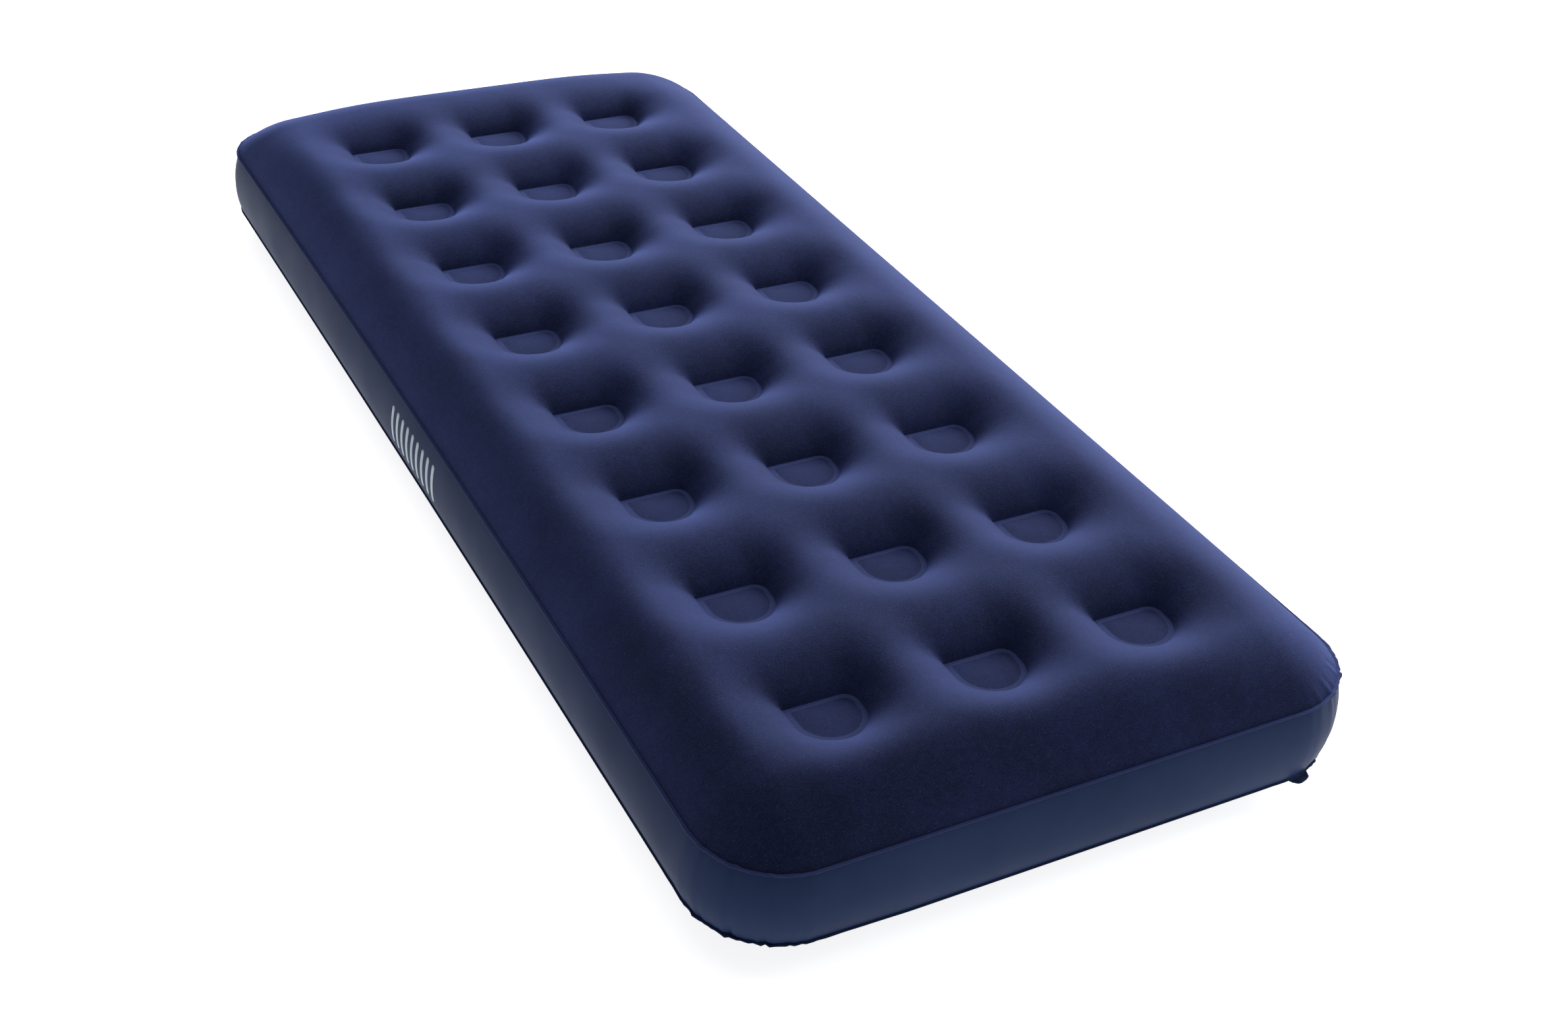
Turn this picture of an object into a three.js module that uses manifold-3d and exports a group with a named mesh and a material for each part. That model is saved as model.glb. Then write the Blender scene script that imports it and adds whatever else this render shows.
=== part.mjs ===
// A single-size inflatable air mattress, blown up and lying on its underside.
// Millimetres. +Z is up, +Y points to the head end, X runs across the bed.
// The origin is on the floor, under the middle of the whole object's box.
import * as THREE from 'three';
import { mergeVertices } from 'three/addons/utils/BufferGeometryUtils.js';
import Module from 'manifold-3d';

const manifold = await Module();
manifold.setup();

// ---- The welded envelope ----
const SEAM_LENGTH = 1832; // outline of the two seams that join the sheets to the side wall
const SEAM_WIDTH = 776;
const SEAM_CORNER = 100; // plan radius of the seams at the corners
const CORNER_STEPS = 6;
const SEAM_FLANGE = 5; // width of the welded lip that stands out at each seam
const FILM = 1; // film thickness
const GAP = 0.3; // clearance that welded or touching pieces keep
const BOTTOM_SEAM_Z = 42;
const WALL_HEIGHT = 91; // from seam to seam
const TOP_SEAM_Z = BOTTOM_SEAM_Z + WALL_HEIGHT;
const WALL_BULGE = 9; // how far air pressure pushes the side wall out at half height
const WALL_STEPS = 6;

// ---- The coil beams and the dimples that they hold down ----
const COLUMNS = 3;
const ROWS = 8;
const COLUMN_PITCH = 191;
const ROW_PITCH = 206;
const GRID_SHIFT_Y = -20; // the beam pattern sits nearer the foot end
const WELD_LEFT = -42; // the D-shaped weld, measured from the middle of its cell
const WELD_RIGHT = 38;
const WELD_STRAIGHT_Y = 18; // the D's straight side faces the head end
const WELD_ROUNDING = 8; // its head-right corner is rounded, its head-left one is sharp
const WELD_ROUND_Y = -8; // where its round side starts
const WELD_ROUND_DEPTH = 39;
const WELD_TRACK = 6; // width of the weld that joins a beam to a sheet
const WELD_TOP_Z = TOP_SEAM_Z + 26;
const WELD_BOTTOM_Z = 24;
const VENT_RADIUS = 8;

// ---- The crowned surfaces between the seam and the beams ----
// Each row: distance inward from the seam, rise of the top sheet, height left under the bottom sheet.
const CROWN = [
  { inward: -SEAM_FLANGE, rise: 0, floorGap: BOTTOM_SEAM_Z },
  { inward: 0, rise: 0, floorGap: BOTTOM_SEAM_Z },
  { inward: 10, rise: 19, floorGap: 33 },
  { inward: 25, rise: 38, floorGap: 18 },
  { inward: 50, rise: 51, floorGap: 0 },
];
const CREST_RISE = 56; // where four cells meet
const ROW_SADDLE_RISE = 52; // between one row of welds and the next
const COLUMN_SADDLE_RISE = 47; // between one column of welds and the next
const SLOPE_PLACE = 0.45; // a bend part-way from the weld to the edge of its cell
const SLOPE_SHARE = 0.72;

// ---- The screw valve in the head end's wall. "Out" is measured along +Y from the wall's crown ----
const VALVE_X = 190;
const VALVE_Z = BOTTOM_SEAM_Z + WALL_HEIGHT / 2;
const VALVE_SIDES = 24;
const PANEL_WIDTH = 150; // the length of side wall that carries the valve
const FLANGE_RADIUS = 32;
const FLANGE_THICK = 1.5;
const WELL_RADIUS = 22.5; // recess that takes the insert's head
const WELL_WALL = 2;
const WELL_RIM_OUT = 2.4;
const WELL_FLOOR_OUT = -4;
const NECK_RADIUS = 17; // threaded neck below the recess
const NECK_WALL = 2;
const NECK_END_OUT = -16;
const RUNNING = 0.6; // radial clearance between parts that turn in each other
const INSERT_HEAD_OUT = [-2.4, -0.6];
const INSERT_END_OUT = -15.5;
const PORT_RADIUS = 9; // bore that takes a pump's nozzle
const PORT_WALL = 3;
const PORT_END_OUT = 4.5;
const CAP_RADIUS = 15.5;
const CAP_FIT = 0.9; // clearance between the cap's skirt and the port
const CAP_LIP = 1.8; // lips above and below the strap's ring, which keep it on the cap
const CAP_TOP_OUT = [5.6, 7.2];
const CAP_FOOT_OUT = [0.1, 0.6];
const STRAP_OUT = [0.9, 2.1];
const STRAP_WIDTH = 2.4;
const STUD_RADIUS = 1;
const STUD_SIDES = 8;
const SEAL_OVERLAP = 1; // how far the cap's seal reaches in over the port
const FLAP_RADIUS = 10.6;
const FLAP_THICK = 1;
const FLAP_AXIS_Z = 12.5; // height of the flap's hinge line above the valve's axis

// The cap stands proud of the head end, so the bed moves towards the foot by half of that.
const BED_SHIFT_Y = -CAP_TOP_OUT[1] / 2;

const COLOURS = {
  flock: { color: 0x1f2350, roughness: 0.95, metalness: 0 },
  wall: { color: 0x2d3a62, roughness: 0.45, metalness: 0 },
  underside: { color: 0x1b2040, roughness: 0.6, metalness: 0 },
  beam: { color: 0x39456b, roughness: 0.5, metalness: 0 },
  valve: { color: 0x232a4d, roughness: 0.4, metalness: 0 },
  rubber: { color: 0x15161a, roughness: 0.8, metalness: 0 },
  silicone: { color: 0xb9bec9, roughness: 0.5, metalness: 0 },
};

const bed = new THREE.Group();
bed.position.y = BED_SHIFT_Y;

function add(name, geometry, look, x = 0, y = 0, z = 0) {
  const mesh = new THREE.Mesh(geometry, new THREE.MeshStandardMaterial(COLOURS[look]));
  mesh.name = name;
  mesh.position.set(x, y, z);
  bed.add(mesh);
}

// ---- Geometry helpers ----

/** A closed geometry from a list of triangles, each of three [x, y, z] points. */
function geometryOf(triangles) {
  const geometry = new THREE.BufferGeometry();
  geometry.setAttribute('position', new THREE.Float32BufferAttribute(triangles.flat(2), 3));
  return mergeVertices(geometry);
}

function solidOf(geometry) {
  const bare = geometry.clone();
  bare.deleteAttribute('normal');
  bare.deleteAttribute('uv');
  const merged = mergeVertices(bare);
  return new manifold.Manifold(new manifold.Mesh({
    numProp: 3,
    vertProperties: merged.attributes.position.array,
    triVerts: new Uint32Array(merged.index.array),
  }));
}

function geometryFrom(solid) {
  const mesh = solid.getMesh();
  const geometry = new THREE.BufferGeometry();
  geometry.setAttribute('position', new THREE.BufferAttribute(mesh.vertProperties, 3));
  geometry.setIndex(new THREE.BufferAttribute(mesh.triVerts, 1));
  return geometry;
}

/** Sweeps a closed section of [outward, z] points, counter-clockwise, round a loop of stations. */
function sweep(stations, section) {
  const triangles = [];
  const at = (station, [outward, z]) => [
    station.x + station.nx * outward,
    station.y + station.ny * outward,
    z,
  ];
  stations.forEach((station, s) => {
    const next = stations[(s + 1) % stations.length];
    section.forEach((point, k) => {
      const above = section[(k + 1) % section.length];
      const [a, b] = [at(station, point), at(next, point)];
      const [c, d] = [at(next, above), at(station, above)];
      triangles.push([a, b, c], [a, c, d]);
    });
  });
  return geometryOf(triangles);
}

/** A solid or ring turned about the Y axis, from [radius, y] points, counter-clockwise. */
function turned(points) {
  const profile = points.map(([radius, y]) => new THREE.Vector2(radius, y));
  return new THREE.LatheGeometry(profile, VALVE_SIDES);
}

/** A plug of one or more steps on the Y axis, from its lowest end to its highest. */
function steppedPlug(steps) {
  const lowest = steps[0].from;
  const highest = steps[steps.length - 1].to;
  const side = steps.flatMap(({ radius, from, to }) => [[radius, from], [radius, to]]);
  return turned([[0, lowest], ...side, [0, highest]]);
}

/** A flat ring on the Y axis. */
function washer(inner, outer, [from, to]) {
  return turned([[inner, from], [outer, from], [outer, to], [inner, to], [inner, from]]);
}

// ---- The seam's outline ----

/** The stations of one rounded corner, from its first angle through a quarter turn. */
function cornerStations(signX, signY, firstAngle) {
  const stations = [];
  for (let step = 0; step <= CORNER_STEPS; step += 1) {
    const angle = firstAngle + (Math.PI / 2) * (step / CORNER_STEPS);
    const [nx, ny] = [Math.cos(angle), Math.sin(angle)];
    stations.push({
      x: signX * (SEAM_WIDTH / 2 - SEAM_CORNER) + nx * SEAM_CORNER,
      y: signY * (SEAM_LENGTH / 2 - SEAM_CORNER) + ny * SEAM_CORNER,
      nx,
      ny,
    });
  }
  return stations;
}

/** The node of the half-cell grid at column i and row j of it, in plan. */
function gridNode(i, j) {
  return {
    x: (i - COLUMNS) * (COLUMN_PITCH / 2),
    y: GRID_SHIFT_Y + (j - ROWS) * (ROW_PITCH / 2),
    betweenRows: i % 2 === 1,
    betweenColumns: j % 2 === 1,
  };
}

/** Stations round the seam, each with the node on the edge of the grid that it faces. */
function borderStations() {
  const [lastI, lastJ] = [2 * COLUMNS, 2 * ROWS];
  const [halfWidth, halfLength] = [SEAM_WIDTH / 2, SEAM_LENGTH / 2];
  const stations = [];
  const corner = (i, j, signX, signY, angle) => {
    const node = gridNode(i, j);
    cornerStations(signX, signY, angle).forEach((station) => stations.push({ ...station, node }));
  };
  const side = (i, j, nx, ny) => {
    const node = gridNode(i, j);
    const x = nx === 0 ? node.x : nx * halfWidth;
    const y = ny === 0 ? node.y : ny * halfLength;
    stations.push({ x, y, nx, ny, node });
  };
  corner(lastI, 0, 1, -1, -Math.PI / 2);
  for (let j = 1; j < lastJ; j += 1) side(lastI, j, 1, 0);
  corner(lastI, lastJ, 1, 1, 0);
  for (let i = lastI - 1; i > 0; i -= 1) side(i, lastJ, 0, 1);
  corner(0, lastJ, -1, 1, Math.PI / 2);
  for (let j = lastJ - 1; j > 0; j -= 1) side(0, j, -1, 0);
  corner(0, 0, -1, -1, Math.PI);
  for (let i = 1; i < lastI; i += 1) side(i, 0, 0, -1);
  return stations;
}

// ---- The D-shaped weld ----

/** The weld's outline in its cell, counter-clockwise: one point for each edge node of the cell. */
function weldOutline() {
  const middle = (WELD_LEFT + WELD_RIGHT) / 2;
  const halfWidth = (WELD_RIGHT - WELD_LEFT) / 2;
  const outline = [
    [WELD_RIGHT - WELD_ROUNDING, WELD_STRAIGHT_Y - WELD_ROUNDING / 2],
    [middle, WELD_STRAIGHT_Y],
    [WELD_LEFT, WELD_STRAIGHT_Y],
  ];
  const roundSteps = 4;
  for (let step = 0; step <= roundSteps; step += 1) {
    const angle = Math.PI * (1 + step / roundSteps);
    outline.push([
      middle + halfWidth * Math.cos(angle),
      WELD_ROUND_Y + WELD_ROUND_DEPTH * Math.sin(angle),
    ]);
  }
  return outline;
}

/** The half-cell grid's nodes round a cell, in the order of the weld's outline. */
const CELL_RING = [[1, 1], [0, 1], [-1, 1], [-1, 0], [-1, -1], [0, -1], [1, -1], [1, 0]];

/** Stations along an outline, each with its mitred outward direction. */
function outlineStations(outline) {
  const count = outline.length;
  return outline.map(([x, y], index) => {
    const [beforeX, beforeY] = outline[(index + count - 1) % count];
    const [afterX, afterY] = outline[(index + 1) % count];
    const before = new THREE.Vector2(y - beforeY, beforeX - x).normalize();
    const after = new THREE.Vector2(afterY - y, x - afterX).normalize();
    const mitre = before.clone().add(after).normalize();
    mitre.divideScalar(mitre.dot(after));
    return { x, y, nx: mitre.x, ny: mitre.y };
  });
}

// ---- The sheets ----

/** One sheet's outer surface, seen from above, as triangles: heights come from the caller. */
function sheetSurface(weldZ, crownZ, nodeZ) {
  const triangles = [];
  const quad = (a, b, c, d) => triangles.push([a, b, c], [a, c, d]);
  const weld = weldOutline();

  for (let column = 0; column < COLUMNS; column += 1) {
    for (let row = 0; row < ROWS; row += 1) {
      const centre = gridNode(2 * column + 1, 2 * row + 1);
      const inner = weld.map(([x, y]) => [centre.x + x, centre.y + y, weldZ]);
      const outer = CELL_RING.map(([di, dj]) => {
        const node = gridNode(2 * column + 1 + di, 2 * row + 1 + dj);
        return [node.x, node.y, nodeZ(node)];
      });
      const bend = inner.map((point, k) => [
        point[0] + SLOPE_PLACE * (outer[k][0] - point[0]),
        point[1] + SLOPE_PLACE * (outer[k][1] - point[1]),
        point[2] + SLOPE_SHARE * (outer[k][2] - point[2]),
      ]);
      inner.forEach((point, k) => {
        const next = (k + 1) % inner.length;
        quad(inner[k], bend[k], bend[next], inner[next]);
        quad(bend[k], outer[k], outer[next], bend[next]);
      });
      for (let k = 1; k < inner.length - 1; k += 1) {
        triangles.push([inner[0], inner[k], inner[k + 1]]);
      }
    }
  }

  const stations = borderStations();
  const onCrown = (station, level) => [
    station.x - station.nx * CROWN[level].inward,
    station.y - station.ny * CROWN[level].inward,
    crownZ(CROWN[level]),
  ];
  stations.forEach((station, s) => {
    const next = stations[(s + 1) % stations.length];
    for (let level = 1; level < CROWN.length; level += 1) {
      quad(
        onCrown(station, level - 1),
        onCrown(next, level - 1),
        onCrown(next, level),
        onCrown(station, level),
      );
    }
    const last = CROWN.length - 1;
    const node = [station.node.x, station.node.y, nodeZ(station.node)];
    const nextNode = [next.node.x, next.node.y, nodeZ(next.node)];
    triangles.push([onCrown(station, last), onCrown(next, last), nextNode]);
    const sameNode = node[0] === nextNode[0] && node[1] === nextNode[1];
    if (!sameNode) triangles.push([onCrown(station, last), nextNode, node]);
  });
  const rim = stations.map((station) => onCrown(station, 0));
  return { triangles, rim };
}

/** A closed sheet: the surface on top, the same surface one film thickness below, and its rim. */
function sheetSolid({ triangles, rim }) {
  const lower = ([x, y, z]) => [x, y, z - FILM];
  const under = triangles.map(([a, b, c]) => [lower(a), lower(c), lower(b)]);
  const edge = rim.flatMap((point, k) => {
    const next = rim[(k + 1) % rim.length];
    return [
      [lower(point), lower(next), next],
      [lower(point), next, point],
    ];
  });
  return geometryOf([...triangles, ...under, ...edge]);
}

function topSheet() {
  const nodeRise = (node) => {
    if (node.betweenRows) return ROW_SADDLE_RISE;
    if (node.betweenColumns) return COLUMN_SADDLE_RISE;
    return CREST_RISE;
  };
  return sheetSolid(sheetSurface(
    WELD_TOP_Z,
    (level) => TOP_SEAM_Z + level.rise,
    (node) => TOP_SEAM_Z + nodeRise(node),
  ));
}

/** The underside lies flat on the floor round its border and between its dimples. */
function bottomSheet() {
  return sheetSolid(sheetSurface(
    WELD_BOTTOM_Z + FILM,
    (level) => level.floorGap + FILM,
    () => FILM,
  ));
}

// ---- The side wall ----

/** The wall's outer face from bottom to top as [outward, z], moved outward by an offset. */
function wallFace(offset, bottom, top) {
  const face = [];
  for (let step = 0; step <= WALL_STEPS; step += 1) {
    const share = step / WALL_STEPS;
    const bulge = WALL_BULGE * Math.sin(Math.PI * share);
    face.push([offset + bulge, bottom + (top - bottom) * share]);
  }
  return face;
}

/** The whole band with its two welded lips, which lie against the sheets' lips. */
function wallBand() {
  const bottom = BOTTOM_SEAM_Z + FILM + GAP;
  const top = TOP_SEAM_Z - FILM - GAP;
  const outside = wallFace(0, bottom + FILM, top - FILM);
  const inside = wallFace(-FILM, bottom, top).reverse();
  const section = [
    [SEAM_FLANGE, bottom],
    [SEAM_FLANGE, bottom + FILM],
    ...outside,
    [SEAM_FLANGE, top - FILM],
    [SEAM_FLANGE, top],
    ...inside,
  ];
  const stations = [
    ...cornerStations(1, -1, -Math.PI / 2),
    ...cornerStations(1, 1, 0),
    ...cornerStations(-1, 1, Math.PI / 2),
    ...cornerStations(-1, -1, Math.PI),
  ];
  return solidOf(sweep(stations, section));
}

/** A block that takes in the valve's length of the head end's wall. */
function panelBlock(width) {
  const block = new THREE.BoxGeometry(width, SEAM_CORNER, 2 * WALL_HEIGHT);
  return solidOf(block.translate(VALVE_X, SEAM_LENGTH / 2, VALVE_Z));
}

/** The long strip that runs round the bed, from one side of the valve's panel to the other. */
function sideWall() {
  return geometryFrom(wallBand().subtract(panelBlock(PANEL_WIDTH + 2 * GAP)));
}

/** The short strip between the long one's ends, with the hole for the valve's base. */
function valvePanel() {
  const hole = atValve(steppedPlug([
    { radius: WELL_RADIUS + WELL_WALL + GAP, from: -SEAM_CORNER, to: WALL_BULGE },
  ]));
  return geometryFrom(wallBand().intersect(panelBlock(PANEL_WIDTH)).subtract(solidOf(hole)));
}

// ---- The coil beams ----

/** A D-shaped tube, with a lip turned in at each end for its weld, and an air vent in its flat side. */
function coilBeam() {
  const bottom = WELD_BOTTOM_Z + FILM + GAP;
  const top = WELD_TOP_Z - FILM - GAP;
  const section = [
    [0, bottom],
    [0, top],
    [-WELD_TRACK, top],
    [-WELD_TRACK, top - FILM],
    [-FILM, top - FILM],
    [-FILM, bottom + FILM],
    [-WELD_TRACK, bottom + FILM],
    [-WELD_TRACK, bottom],
  ];
  const tube = sweep(outlineStations(weldOutline()), section);
  const ventSides = 6;
  const vent = new THREE.CylinderGeometry(VENT_RADIUS, VENT_RADIUS, 4 * FILM, ventSides);
  vent.translate(WELD_LEFT / 2, WELD_STRAIGHT_Y, (bottom + top) / 2);
  return geometryFrom(solidOf(tube).subtract(solidOf(vent)));
}

// ---- The valve ----

/** Moves a shape on the Y axis from the origin to the valve's place on the wall's crown. */
function atValve(geometry) {
  return geometry.translate(VALVE_X, SEAM_LENGTH / 2 + WALL_BULGE, VALVE_Z);
}

/** The round plate welded on the wall: it follows the wall's bulge. */
function flangePlate() {
  const bottom = BOTTOM_SEAM_Z + FILM + GAP + FILM;
  const top = TOP_SEAM_Z - FILM - GAP - FILM;
  const near = wallFace(GAP, bottom, top);
  const far = wallFace(GAP + FLANGE_THICK, bottom, top).reverse();
  const section = [...far, ...near].map(([outward, z]) => new THREE.Vector2(outward, z));
  const band = new THREE.ExtrudeGeometry(new THREE.Shape(section), {
    depth: 2 * FLANGE_RADIUS + 2 * FLANGE_THICK,
    bevelEnabled: false,
  });
  const along = new THREE.Matrix4().makeBasis(
    new THREE.Vector3(0, 1, 0),
    new THREE.Vector3(0, 0, 1),
    new THREE.Vector3(1, 0, 0),
  );
  band.applyMatrix4(along);
  band.translate(VALVE_X - FLANGE_RADIUS - FLANGE_THICK, SEAM_LENGTH / 2, 0);
  const disc = atValve(steppedPlug([{ radius: FLANGE_RADIUS, from: -2 * WALL_BULGE, to: WALL_BULGE }]));
  return solidOf(band).intersect(solidOf(disc));
}

function valveBase() {
  const cup = atValve(steppedPlug([
    { radius: NECK_RADIUS + NECK_WALL, from: NECK_END_OUT, to: WELL_FLOOR_OUT - NECK_WALL },
    { radius: WELL_RADIUS + WELL_WALL, from: WELL_FLOOR_OUT - NECK_WALL, to: WELL_RIM_OUT },
  ]));
  const bore = atValve(steppedPlug([
    { radius: NECK_RADIUS, from: NECK_END_OUT - FILM, to: WELL_FLOOR_OUT },
    { radius: WELL_RADIUS, from: WELL_FLOOR_OUT, to: WELL_RIM_OUT + WALL_BULGE },
  ]));
  return geometryFrom(flangePlate().add(solidOf(cup)).subtract(solidOf(bore)));
}

/** The plug that screws into the base, with the port for a pump through its middle. */
function valveInsert() {
  const [headFrom, headTo] = INSERT_HEAD_OUT;
  const shank = NECK_RADIUS - RUNNING;
  return atValve(turned([
    [shank, INSERT_END_OUT],
    [shank, headFrom],
    [WELL_RADIUS - RUNNING, headFrom],
    [WELL_RADIUS - RUNNING, headTo],
    [PORT_RADIUS + PORT_WALL, headTo],
    [PORT_RADIUS + PORT_WALL, PORT_END_OUT],
    [PORT_RADIUS, PORT_END_OUT],
    [PORT_RADIUS, INSERT_END_OUT],
    [shank, INSERT_END_OUT],
  ]));
}

function insertGasket() {
  return atValve(washer(
    NECK_RADIUS,
    WELL_RADIUS - RUNNING,
    [WELL_FLOOR_OUT + GAP, INSERT_HEAD_OUT[0] - GAP],
  ));
}

/** The one-way flap: a disc with a tongue that runs up to its hinge line. */
function checkFlap() {
  const outer = INSERT_END_OUT - GAP;
  const disc = steppedPlug([{ radius: FLAP_RADIUS, from: outer - FLAP_THICK, to: outer }]);
  const tongue = new THREE.BoxGeometry(FLAP_RADIUS, FLAP_THICK, FLAP_AXIS_Z);
  tongue.translate(0, outer - FLAP_THICK / 2, FLAP_AXIS_Z / 2);
  const flap = solidOf(disc).add(solidOf(tongue));
  return atValve(geometryFrom(flap));
}

/** The clip on the insert's inner rim that the flap hangs from. */
function flapClip() {
  const outer = INSERT_END_OUT - GAP;
  const ring = washer(FLAP_AXIS_Z, NECK_RADIUS - 2 * RUNNING, [outer - 2 * FLAP_THICK, outer]);
  const side = 2 * FLAP_RADIUS;
  const upper = new THREE.BoxGeometry(FLAP_RADIUS, side, side);
  upper.translate(0, outer, FLAP_AXIS_Z + FLAP_THICK + side / 2);
  return atValve(geometryFrom(solidOf(ring).intersect(solidOf(upper))));
}

function valveCap() {
  const [footFrom, footTo] = CAP_FOOT_OUT;
  const [topFrom, topTo] = CAP_TOP_OUT;
  const inner = PORT_RADIUS + PORT_WALL + CAP_FIT;
  return atValve(turned([
    [inner, footFrom],
    [CAP_RADIUS + CAP_LIP, footFrom],
    [CAP_RADIUS + CAP_LIP, footTo],
    [CAP_RADIUS, footTo],
    [CAP_RADIUS, topFrom - CAP_LIP],
    [CAP_RADIUS + CAP_LIP, topFrom],
    [CAP_RADIUS + CAP_LIP, topTo],
    [0, topTo],
    [0, topFrom],
    [inner, topFrom],
    [inner, footFrom],
  ]));
}

function capSeal() {
  return atValve(washer(
    PORT_RADIUS - SEAL_OVERLAP,
    PORT_RADIUS + PORT_WALL,
    [PORT_END_OUT + GAP, CAP_TOP_OUT[0] - GAP],
  ));
}

/** The soft ring round the cap, with the strap that ties it to the insert's head. */
function capStrap() {
  const inner = CAP_RADIUS + RUNNING;
  const outer = inner + STRAP_WIDTH;
  const [from, to] = STRAP_OUT;
  const ring = washer(inner, outer, STRAP_OUT);
  const reach = WELL_RADIUS - 2 * RUNNING - inner - STRAP_WIDTH / 2;
  const tail = new THREE.BoxGeometry(2 * STRAP_WIDTH, to - from, reach);
  tail.translate(0, (from + to) / 2, -inner - STRAP_WIDTH / 2 - reach / 2);
  return atValve(geometryFrom(solidOf(ring).add(solidOf(tail))));
}

/** The stud on the insert's head that holds the strap's end. */
function strapStud() {
  const [from, to] = [INSERT_HEAD_OUT[1] + GAP, STRAP_OUT[0] - GAP];
  const stud = new THREE.CylinderGeometry(STUD_RADIUS, STUD_RADIUS, to - from, STUD_SIDES);
  stud.translate(0, (from + to) / 2, -(WELL_RADIUS - STRAP_WIDTH));
  return atValve(stud);
}

// ---- The assembly ----
add('top_sheet', topSheet(), 'flock');
add('bottom_sheet', bottomSheet(), 'underside');
add('side_wall', sideWall(), 'wall');
add('valve_panel', valvePanel(), 'wall');

const beam = coilBeam();
for (let row = 0; row < ROWS; row += 1) {
  for (let column = 0; column < COLUMNS; column += 1) {
    const centre = gridNode(2 * column + 1, 2 * row + 1);
    add(`coil_beam_row${row + 1}_col${column + 1}`, beam, 'beam', centre.x, centre.y);
  }
}

add('valve_base', valveBase(), 'valve');
add('insert_gasket', insertGasket(), 'rubber');
add('valve_insert', valveInsert(), 'valve');
add('strap_stud', strapStud(), 'valve');
add('flap_clip', flapClip(), 'valve');
add('check_flap', checkFlap(), 'silicone');
add('cap_strap', capStrap(), 'valve');
add('valve_cap', valveCap(), 'valve');
add('cap_seal', capSeal(), 'rubber');

const mattress = new THREE.Group();
mattress.add(bed);
export default mattress;
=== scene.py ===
"""Looks for a single-size inflatable air mattress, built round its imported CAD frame.

Metres. +Z is up, +Y points to the head end, X runs across the bed. The film sheets are
membranes: a fine triangle mesh in plan, raised to a crown that sinks into a bowl round each
D-shaped weld, and crumpled a little where the seam runs round a corner.
"""

import math

import bmesh
import bpy
import numpy as np
from mathutils import Matrix, Quaternion, Vector
from mathutils.geometry import delaunay_2d_cdt


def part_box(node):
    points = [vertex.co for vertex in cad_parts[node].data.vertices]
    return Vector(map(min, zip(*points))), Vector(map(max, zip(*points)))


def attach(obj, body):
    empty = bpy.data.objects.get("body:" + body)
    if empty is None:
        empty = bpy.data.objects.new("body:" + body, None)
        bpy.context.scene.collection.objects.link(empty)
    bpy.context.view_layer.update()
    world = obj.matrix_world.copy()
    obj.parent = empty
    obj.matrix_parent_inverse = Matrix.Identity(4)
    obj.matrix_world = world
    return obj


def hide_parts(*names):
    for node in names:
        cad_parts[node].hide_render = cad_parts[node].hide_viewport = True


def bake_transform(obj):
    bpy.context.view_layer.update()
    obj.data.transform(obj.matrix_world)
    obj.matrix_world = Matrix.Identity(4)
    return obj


MM = 0.001

# ---- The film ----
CAD_FILM = 1.0 * MM  # film thickness in the CAD solids
CAD_GAP = 0.3 * MM  # clearance that stands for a weld in the CAD
FILM = 0.6 * MM
LIP = 5 * MM  # width of the welded lip at each seam
LIP_RINGS = (1.3 * MM, 2.8 * MM, 4.1 * MM, LIP)
SEAM_CORNER = 100 * MM

# ---- The membranes' meshes: distances from the seam inward, and from a weld's edge ----
BORDER_RINGS = tuple(d * MM for d in (0, 1.2, 2.8, 5, 8, 12, 17, 23, 30))
WELD_RINGS = tuple(d * MM for d in (1.2, 3, 5.5, 9, 13.5))
INSIDE_RINGS = tuple(d * MM for d in (1.2, 3, 5.5, 9))
FINE_BORDER_RINGS = 6  # so many of the seam's rings use every point of the seam
RING_GAP = 3.5 * MM  # between a ring's outermost points and the lattice
TOP_LATTICE = 9 * MM
BOTTOM_LATTICE = 15 * MM

# ---- The weld ----
WELD_ROUND_SHARE = 0.6  # share of the D's depth that its round side takes
WELD_FILLET = 15 * MM  # the D's rounded corner, at the head's right
WELD_TRACK = 6 * MM

# ---- The crown ----
CREST = 56 * MM  # height of the top sheet's crests over its seam
CROWN_REACH = 100 * MM
CROWN_POWER = 0.9
CORNER_DROP = 0.3  # share of the crown that is missing at the bed's corners
CORNER_REACH = 130 * MM
UNEVEN = 0.7 * MM
UNDER_REACH = 66 * MM  # the underside meets the floor that far inside its seam
UNDER_POWER = 1.0
BOWL_REACH = 94 * MM  # a bowl's width, from the edge of its weld
BOWL_LEAN = 0.16  # a bowl reaches further behind its weld's straight side
BOWL_POWER = 2.4
WELD_STEP = 3.2 * MM  # the film leaves a weld's edge steeply, and climbs by this at once
WELD_STEP_REACH = 4.5 * MM
WELD_PUFF = 1.2 * MM  # the film puffs up inside a weld

# ---- The side wall ----
WALL_BULGE = 9 * MM
WALL_STEPS = 22
CORNER_SPACING = 4 * MM
SIDE_SPACING = 9 * MM

# ---- The gathers at the corners: near-left, near-right, far-left, far-right ----
TOP_GATHER = (0.7, 0.8, 0.3, 0.35)
BOTTOM_GATHER = (1.2, 0.6, 0.3, 0.3)
GATHER_WAVES = ((29 * MM, 0.4), (18 * MM, 1.9), (12 * MM, 4.0))
GATHER_SPREAD = 75 * MM
TOP_LIP = (3.6 * MM, 0.4 * MM)  # how far a lip's edge lies outside its seam, and above it
BOTTOM_LIP = (1.6 * MM, -0.8 * MM)
LIP_CURL = 1.0 * MM
LIP_SCALLOP = 3.0 * MM
SEAM_SHIFT = 1.6 * MM
PUCKER = 0.9 * MM
PUCKER_REACH = 13 * MM
TAB_REACH = 6 * MM  # a fold of spare film sticks out under the near-right corner
TAB_PLACE = 60 * MM
TAB_WIDTH = 13 * MM

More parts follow.
